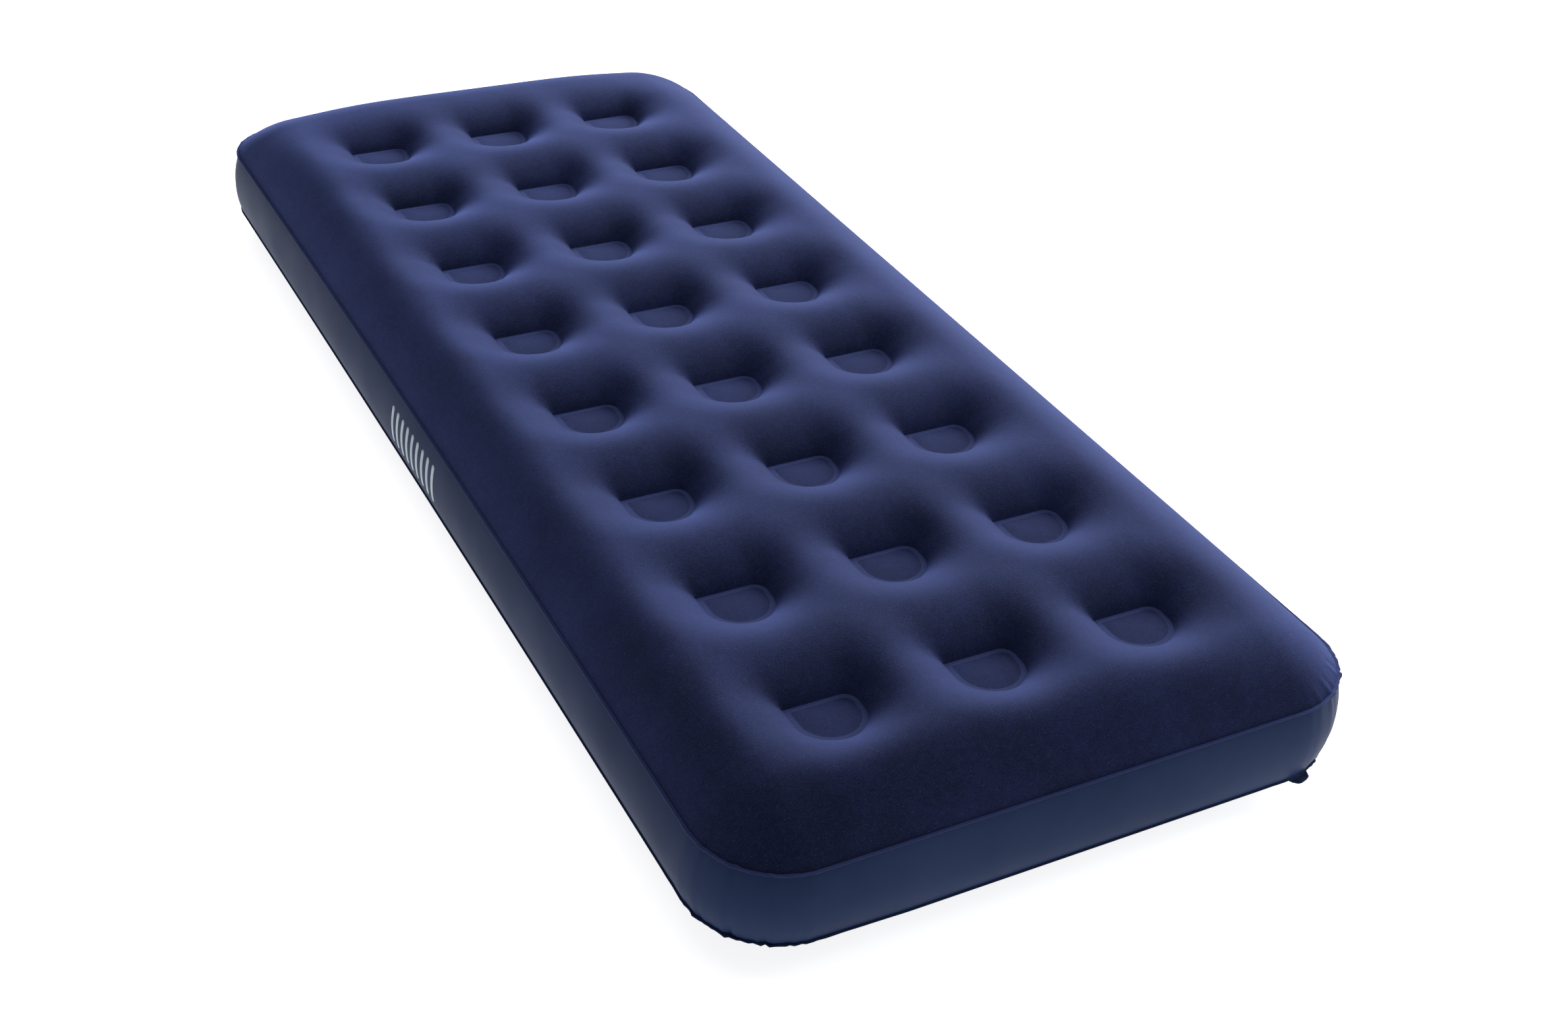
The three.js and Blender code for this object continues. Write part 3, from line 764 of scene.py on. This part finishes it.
def cut_sheet(outline, holes=(), filling=()):
    """Points and triangles of a flat shape with holes, with more points to fill it."""
    points, edges = [], []
    for loop in (outline, *holes):
        start, count = len(points), len(loop)
        points.extend(map(tuple, loop))
        edges.extend((start + k, start + (k + 1) % count) for k in range(count))
    points.extend(map(tuple, filling))
    made = delaunay_2d_cdt([Vector(p) for p in points], edges, [], 0, 1e-8)
    plan, triangles = np.array([tuple(v) for v in made[0]]), np.array(made[2])
    middles = plan[triangles].mean(1)
    kept = within(middles, outline)
    for hole in holes:
        kept &= ~within(middles, hole)
    return plan, triangles[kept]


def circle(radius, count, centre=(0, 0), start=0.0, turn=2 * math.pi):
    """Points on a circle or, with a smaller turn, on an arc that includes both of its ends."""
    closed = turn > 6.28
    angles = start + np.linspace(0, turn, count, endpoint=not closed)
    return np.stack([centre[0] + radius * np.cos(angles), centre[1] + radius * np.sin(angles)], 1)


# ---- The panel of wall that carries the valve ----

LAP = 5 * MM  # how far the panel's ends lie over the long strip
PANEL_PROUD = FILM + 0.1 * MM
PANEL_HOLE = 24.8 * MM


def valve_panel():
    heights = wall_section()[:, 1]
    low, high = WALL_LOW - LIP, WALL_TOP + LIP
    left, right = panel_low.x - LAP, panel_high.x + LAP
    columns = np.linspace(left, right, 33)
    lip_rows = [WALL_LOW - d for d in LIP_RINGS[:-1]] + [WALL_TOP + d for d in LIP_RINGS[:-1]]
    rows = np.r_[np.unique(heights), lip_rows]
    outline = [(x, low) for x in columns[:-1]]
    outline += [(right, z) for z in np.sort(np.r_[low, rows])]
    outline += [(x, high) for x in columns[:0:-1]]
    outline += [(left, z) for z in np.sort(np.r_[high, rows])[::-1]]
    hole = circle(PANEL_HOLE, 72, VALVE_PLACE[::2])
    grid = np.array([(x, z) for x in columns[1:-1] for z in rows])
    clear = np.hypot(grid[:, 0] - VALVE_PLACE[0], grid[:, 1] - VALVE_PLACE[2]) > PANEL_HOLE + 2 * MM
    flat, triangles = cut_sheet(outline, [hole], grid[clear])
    z = np.clip(flat[:, 1], WALL_LOW, WALL_TOP)
    lip = flat[:, 1] - z
    proud = np.where(np.abs(lip) > 0, 0, PANEL_PROUD)
    out = wall_out(z) + np.abs(lip)
    points = np.column_stack([flat[:, 0], MID_Y + HALF_LENGTH + out, z])
    points = settle_wall(points)
    points[:, 1] += proud
    points[:, 2] -= np.sign(lip) * PANEL_PROUD
    made = piece(
        "valve_panel_film",
        points,
        triangles[:, ::-1],
        [WALL_FILM],
        "mattress",
        ["valve_panel"],
        60,
    )
    return thicken(made, FILM)


# ---- The valve's turned parts: profiles are loops of (radius, out) in mm, where out is the
# distance beyond the wall's crown ----

VALVE_SIDES = 96
INSERT_LEAD = 8.0  # advance in one turn, in mm
CAP_LEAD = 6.0
THREAD_STARTS = 2
THREAD_STEP = 0.5
RIDGE = 0.28
HEAD_FLUTES = 24
CAP_FLUTES = 30


def thread(angle, out, lead):
    """Height of a two-start thread's ridge at a point, from 0 to 1."""
    phase = THREAD_STARTS * (angle - 2 * math.pi * out / lead)
    return np.clip(1.4 * np.cos(phase) - 0.2, 0, 1)


def fine_line(radius, start, end):
    """Closely spaced points along the axis, for a threaded length."""
    count = max(2, round(abs(end - start) / THREAD_STEP))
    return [(radius, out) for out in np.linspace(start, end, count + 1)]


def turned(name, profile, material, body, slot, nodes, rounding=0.25, shape=None, sides=VALVE_SIDES):
    """A rounded solid turned about the valve's axis. The shape function may move its points."""
    profile = np.array(profile)
    angles = np.arange(sides) * 2 * math.pi / sides
    angle, radius = np.meshgrid(angles, profile[:, 0], indexing="ij")
    out = np.broadcast_to(profile[:, 1], radius.shape)
    if shape:
        radius, out = shape(angle, radius, out)
    offset = np.stack([radius * np.sin(angle), out, radius * np.cos(angle)], -1).reshape(-1, 3)
    count = len(profile)
    faces = [
        (s * count + k, s * count + (k + 1) % count, n * count + (k + 1) % count, n * count + k)
        for s, n in ((s, (s + 1) % sides) for s in range(sides))
        for k in range(count)
    ]
    made = piece(name, np.array(VALVE_PLACE) + offset * MM, faces, [material], body, nodes, 40)
    tidy_solid(made)
    return soften(made, rounding)


def tidy_solid(made):
    """Merges the points on the axis and turns every face outward."""
    work = bmesh.new()
    work.from_mesh(made.data)
    bmesh.ops.remove_doubles(work, verts=work.verts, dist=1e-7)
    bmesh.ops.recalc_face_normals(work, faces=work.faces)
    work.to_mesh(made.data)
    work.free()


def soften(made, rounding):
    """Rounds the sharp edges of a moulded piece, by a radius in mm."""
    modifier = made.modifiers.new("rounded_edges", "BEVEL")
    modifier.width = rounding * MM
    modifier.segments = 2
    modifier.limit_method = "ANGLE"
    modifier.angle_limit = math.radians(40)
    modifier.harden_normals = True
    return made


def valve_base():
    """The flange lies on the curved wall; the well and the threaded neck are straight."""

    def shape(angle, radius, out):
        on_flange = (radius > 24.4) & (out > 0.7) & (out < 2)
        sag = wall_out(VALVE_PLACE[2] + radius * np.cos(angle) * MM) / MM - WALL_BULGE / MM
        in_neck = (radius < 17.1) & (out < -5)
        ridge = RIDGE * thread(angle, out, INSERT_LEAD) * in_neck
        return radius - ridge, out + sag * on_flange

    profile = fine_line(17, -16, -5)
    profile += [(17, -4), (22.5, -4), (22.5, 2.4), (24.5, 2.4), (24.5, 1.8)]
    profile += [(27.4, 1.8), (27.9, 1.5), (30.6, 1.5), (31.1, 1.75), (32, 1.5)]
    profile += [(32, 0.95), (24.5, 0.95), (24.5, -6), (19, -6), (19, -16)]
    return turned(
        "valve_base_moulding",
        profile,
        MOULDED,
        "mattress",
        "valve_plastic",
        ["valve_base"],
        shape=shape,
    )


def valve_insert():
    def shape(angle, radius, out):
        on_shank = (np.abs(radius - 16.4) < 0.1) & (out < -3) & (out > -15.4)
        on_port = (np.abs(radius - 12) < 0.1) & (out > 0) & (out < 4.4)
        on_rim = radius > 21.8
        ridge = RIDGE * thread(angle, out, INSERT_LEAD) * on_shank
        ridge = ridge + RIDGE * thread(angle, out, CAP_LEAD) * on_port
        flute = 0.3 * (1 + np.cos(HEAD_FLUTES * angle)) * on_rim
        return radius + ridge - flute, out

    profile = [(16.0, -15.5)] + fine_line(16.4, -15.0, -3.0)
    profile += [(16.4, -2.4), (21.9, -2.4), (21.9, -0.9), (21.2, -0.6), (20.4, -0.6)]
    profile += [(19.6, -0.85), (14.2, -0.85), (12.9, -0.45)]
    profile += fine_line(12, 0.2, 4.0) + [(12, 4.5), (9, 4.5), (9, 1.0), (9, -15.5)]
    return turned(
        "valve_insert_moulding",
        profile,
        MOULDED,
        "insert",
        "valve_plastic",
        ["valve_insert"],
        shape=shape,
        sides=120,
    )


def valve_cap():
    def shape(angle, radius, out):
        on_grip = (radius > 16) & (out > 5)
        in_skirt = (np.abs(radius - 12.9) < 0.1) & (out > 0.7) & (out < 5)
        flute = 0.4 * (1 + np.cos(CAP_FLUTES * angle)) * on_grip
        ridge = RIDGE * thread(angle, out, CAP_LEAD) * in_skirt
        return radius - flute - ridge, out

    profile = [(12.9, 0.1), (17.3, 0.1), (17.3, 0.6), (15.5, 0.6), (15.5, 3.8)]
    profile += [(17.3, 5.6), (17.3, 6.9), (16.9, 7.2), (13.6, 7.2), (12.9, 6.75), (11.8, 6.75)]
    profile += [(11.2, 7.0), (6, 7.15), (0, 7.2), (0, 5.6), (12.9, 5.6)]
    profile += fine_line(12.9, 5.2, 0.6)
    return turned(
        "valve_cap_moulding",
        profile,
        MOULDED,
        "cap",
        "valve_plastic",
        ["valve_cap"],
        rounding=0.2,
        shape=shape,
        sides=240,
    )


def bead(inner, outer, low, high):
    """The loop of a ring with a rounded section."""
    middle = ((inner + outer) / 2, (low + high) / 2)
    steps = np.linspace(0, 2 * math.pi, 16, endpoint=False)
    turns = np.stack([np.cos(steps), np.sin(steps)], 1)
    squared = np.sign(turns) * np.abs(turns) ** 0.6
    half = np.array([outer - inner, high - low]) / 2
    return np.array(middle) + half * squared


def valve_rings():
    turned(
        "insert_gasket_ring",
        bead(17.2, 21.8, -3.75, -2.65),
        RUBBER,
        "gasket",
        "seal_rubber",
        ["insert_gasket"],
        rounding=0.05,
    )
    turned(
        "cap_seal_ring",
        bead(8.1, 11.9, 4.75, 5.4),
        RUBBER,
        "cap",
        "seal_rubber",
        ["cap_seal"],
        rounding=0.05,
    )


# ---- The valve's flat parts ----


def plate(name, flat, triangles, out, thickness, material, body, nodes, rounding=0.25):
    """A flat shape in (x, z) mm about the valve's axis, thickened down from its outer face."""
    points = np.column_stack([flat[:, 0], np.full(len(flat), out), flat[:, 1]])
    place = np.array(VALVE_PLACE) + points * MM
    made = piece(name, place, triangles[:, ::-1], [material], body, nodes, 40)
    thicken(made, thickness * MM)
    return soften(made, rounding)


RING_INNER, RING_OUTER = 16.1, 18.5
TAIL_HALF = 2.4
STUD_Z = -20.1


def cap_strap():
    """A soft ring under the cap's lip, with a short tail whose eye sits on the stud."""
    side = math.asin(TAIL_HALF / RING_OUTER)
    ring = circle(RING_OUTER, 91, start=side - math.pi / 2, turn=2 * math.pi - 2 * side)
    eye = circle(TAIL_HALF, 15, (0, STUD_Z + 1.2), -math.pi, math.pi)
    holes = [circle(RING_INNER, 72), circle(0.9, 14, (0, STUD_Z))]
    # Points are spread across the tail, between the stud and the ring.
    bend = [(x, z) for x in np.linspace(-1.6, 1.6, 5) for z in np.linspace(-19, -16.8, 6)]
    flat, triangles = cut_sheet(np.concatenate([ring, eye]), holes, bend)
    made = plate(
        "cap_strap_ring", flat, triangles, 2.1, 1.2, SOFT_VINYL, None, ["cap_strap"], 0.3
    )
    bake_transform(made)


def strap_stud():
    profile = [(0, -0.6), (0.8, -0.6), (0.8, 2.15), (1.7, 2.15), (1.5, 2.6), (0.8, 2.95), (0, 3.05)]
    low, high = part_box("strap_stud")
    made = turned(
        "strap_stud_rivet",
        profile,
        MOULDED,
        "insert",
        "valve_plastic",
        ["strap_stud"],
        rounding=0.12,
        sides=28,
    )
    made.data.transform(Matrix.Translation((0, 0, (low.z + high.z) / 2 - VALVE_PLACE[2])))


FLAP_RADIUS = 10.6
TONGUE_HALF = 5.3
TONGUE_TOP = 12.4
CLIP_RADIUS = 15.7
CLIP_HALF = 5.2
CLIP_FOOT = 13.6


def check_flap():
    """A thin disc with a tongue up to the hinge line."""
    start = math.asin(TONGUE_HALF / FLAP_RADIUS)
    disc = circle(FLAP_RADIUS, 61, start=math.pi / 2 + start, turn=2 * math.pi - 2 * start)
    tongue = [(TONGUE_HALF, TONGUE_TOP), (-TONGUE_HALF, TONGUE_TOP)]
    flat, triangles = cut_sheet(np.concatenate([disc, tongue]))
    plate(
        "check_flap_disc",
        flat,
        triangles,
        -15.8,
        1.0,
        SILICONE,
        "flap",
        ["check_flap"],
        0.2,
    )


def flap_clip():
    """A segment of ring above the hinge line, on the insert's inner end."""
    reach = math.asin(CLIP_HALF / CLIP_RADIUS)
    top = circle(CLIP_RADIUS, 15, start=math.pi / 2 - reach, turn=2 * reach)
    foot = [(-CLIP_HALF, CLIP_FOOT), (CLIP_HALF, CLIP_FOOT)]
    flat, triangles = cut_sheet(np.concatenate([top, foot]))
    plate(
        "flap_clip_bar",
        flat,
        triangles,
        -15.6,
        2.1,
        MOULDED,
        "insert",
        ["flap_clip"],
        0.3,
    )


# ---- The coil beams: D-shaped tubes of film inside the bed ----

BEAM_WAIST = 2.5 * MM
BEAM_VENT = 8 * MM
BEAM_LIPS = (2 * MM, 4 * MM, 6 * MM)
VENT_PLACE = 0.75  # along the D's straight side, as a share of it from the strip's end


def coil_beams():
    """One strip of film is cut flat with its vent, bent round the D, and copied to each weld."""
    around = np.concatenate([WELD_EDGE, WELD_EDGE[:1]])
    reached = np.r_[0, np.cumsum(np.hypot(*np.diff(around, axis=0).T))]
    low, high = WELD_BOXES[0][0].z, WELD_BOXES[0][1].z
    lips = np.array(BEAM_LIPS)
    rows = np.r_[low - lips[::-1], np.linspace(low, high, 17), high + lips]
    columns = np.linspace(0, reached[-1], 61)
    outline = [(s, rows[0]) for s in columns[:-1]] + [(columns[-1], z) for z in rows[:-1]]
    outline += [(s, rows[-1]) for s in columns[:0:-1]] + [(0, z) for z in rows[:0:-1]]
    straight_side = 2 * WELD_HALF_WIDTH - WELD_FILLET
    middle = (reached[-1] - straight_side * VENT_PLACE, (low + high) / 2)
    vent = circle(BEAM_VENT, 40, middle)
    grid = np.array([(s, z) for s in columns[1:-1] for z in rows[1:-1]])
    clear = np.hypot(*(grid - middle).T) > BEAM_VENT + 1.5 * MM
    flat, triangles = cut_sheet(outline, [vent], grid[clear])
    z = np.clip(flat[:, 1], low, high)
    waist = BEAM_WAIST * np.sin(math.pi * (z - low) / (high - low))
    inward = (waist + np.abs(flat[:, 1] - z)) / WELD_HALF_DEPTH
    ring = np.stack([np.interp(flat[:, 0], reached, around[:, k]) for k in (0, 1)], 1)
    ring *= (1 - inward)[:, None]
    for name in sorted(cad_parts):
        if not name.startswith("coil_beam"):
            continue
        box_low, box_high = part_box(name)
        centre = np.array([(box_low.x + box_high.x) / 2, (box_low.y + box_high.y) / 2])
        points = np.column_stack([ring + centre, z])
        made = piece(
            name + "_film", points, triangles, [BEAM_FILM], "mattress", [name], 45
        )
        tidy_solid(made)
        thicken(made, FILM)


# ---- A plain print on the left wall ----

BARS = 9
BAR_WIDTH = 8 * MM
BAR_PITCH = 19 * MM
BAR_LOW, BAR_HIGH = 60 * MM, 112 * MM
PRINT_Y = -15 * MM
PRINT_PROUD = 0.12 * MM
PRINT_THICKNESS = 0.08 * MM


def wall_print():
    """A row of plain upright bars with round ends, printed on the left wall."""
    radius = BAR_WIDTH / 2
    points, faces = [], []
    for bar in range(BARS):
        y = PRINT_Y + (bar - (BARS - 1) / 2) * BAR_PITCH
        heights = np.linspace(BAR_LOW + radius, BAR_HIGH - radius, 14)[1:-1]
        outline = [*circle(radius, 13, (y, BAR_LOW + radius), math.pi, math.pi)]
        outline += [(y + radius, z) for z in heights]
        outline += [*circle(radius, 13, (y, BAR_HIGH - radius), 0, math.pi)]
        outline += [(y - radius, z) for z in heights[::-1]]
        flat, triangles = cut_sheet(outline)
        faces.extend(triangles + len(points))
        points.extend((-HALF_WIDTH - wall_out(z), y, z) for y, z in flat)
    points = settle_wall(np.array(points)) - np.array([PRINT_PROUD, 0, 0])
    made = piece(
        "wall_print", points, np.array(faces)[:, ::-1], [PALE_PRINT], "mattress", []
    )
    return thicken(made, PRINT_THICKNESS)


# ---- Stage, light and camera ----

CAMERA_PLACE = Vector((-1.0121, -2.0879, 1.4577))
CAMERA_AIM = Vector((-0.0276, -0.3391, 0.1))
CAMERA_LENS = 45.99
CAMERA_ROLL = math.radians(3.814)
FLOOR_HALF = 30.0


def camera():
    data = bpy.data.cameras.new("camera")
    data.lens = CAMERA_LENS
    data.sensor_width = 36
    data.clip_end = 100
    made = bpy.data.objects.new("camera", data)
    bpy.context.scene.collection.objects.link(made)
    roll = Quaternion((0, 0, 1), CAMERA_ROLL)
    made.location = CAMERA_PLACE
    made.rotation_mode = "QUATERNION"
    made.rotation_quaternion = (CAMERA_AIM - CAMERA_PLACE).to_track_quat("-Z", "Y") @ roll
    bpy.context.scene.camera = made


def area_light(name, place, aim, size, power, colour=(1, 1, 1)):
    data = bpy.data.lights.new(name, "AREA")
    data.shape = "RECTANGLE"
    data.size, data.size_y = size
    data.energy = power
    data.color = colour
    made = bpy.data.objects.new(name, data)
    bpy.context.scene.collection.objects.link(made)
    made.location = place
    made.rotation_mode = "QUATERNION"
    made.rotation_quaternion = (Vector(aim) - Vector(place)).to_track_quat("-Z", "Y")


def studio():
    world = bpy.data.worlds.new("studio")
    bpy.context.scene.world = world
    world.use_nodes = True
    background = world.node_tree.nodes["Background"]
    background.inputs["Color"].default_value = (0.94, 0.96, 1, 1)
    background.inputs["Strength"].default_value = 0.15
    area_light("overhead_softbox", (0.2, 0.2, 2.8), (0, 0, 0), (3.4, 3.0), 26)
    area_light("rear_softbox", (8.0, 6.6, 3.5), (0, 0, 0), (8.5, 3.6), 2100)
    area_light("right_strip", (2.6, -1.3, 0.9), (0.2, -0.8, 0.1), (0.7, 1.5), 22, (0.85, 0.93, 1))
    bpy.context.scene.view_settings.view_transform = "Standard"


def floor():
    mesh = bpy.data.meshes.new("floor")
    corners = [(x * FLOOR_HALF, y * FLOOR_HALF, 0) for x, y in ((-1, -1), (1, -1), (1, 1), (-1, 1))]
    mesh.from_pydata(corners, [], [(0, 1, 2, 3)])
    made = bpy.data.objects.new("floor", mesh)
    bpy.context.scene.collection.objects.link(made)
    look = Look("pale_floor", Roughness=0.9, Specular_IOR_Level=0.1)
    look.colour(look.ramp(look.noise(3, 2.0), [(0.3, (0.90, 0.90, 0.91)), (0.7, (0.93, 0.93, 0.94))]))
    look.shader.inputs["Emission Color"].default_value = (1, 1, 1, 1)
    look.shader.inputs["Emission Strength"].default_value = 0.85
    mesh.materials.append(look.material)


camera()
studio()
floor()

top = top_membrane(Membrane(TOP_LATTICE, 1.0))
bottom = bottom_membrane(Membrane(BOTTOM_LATTICE, 1.6))
wall = side_wall()
panel = valve_panel()
valve_base()
valve_insert()
valve_cap()
valve_rings()
cap_strap()
strap_stud()
check_flap()
flap_clip()

coil_beams()
wall_print()
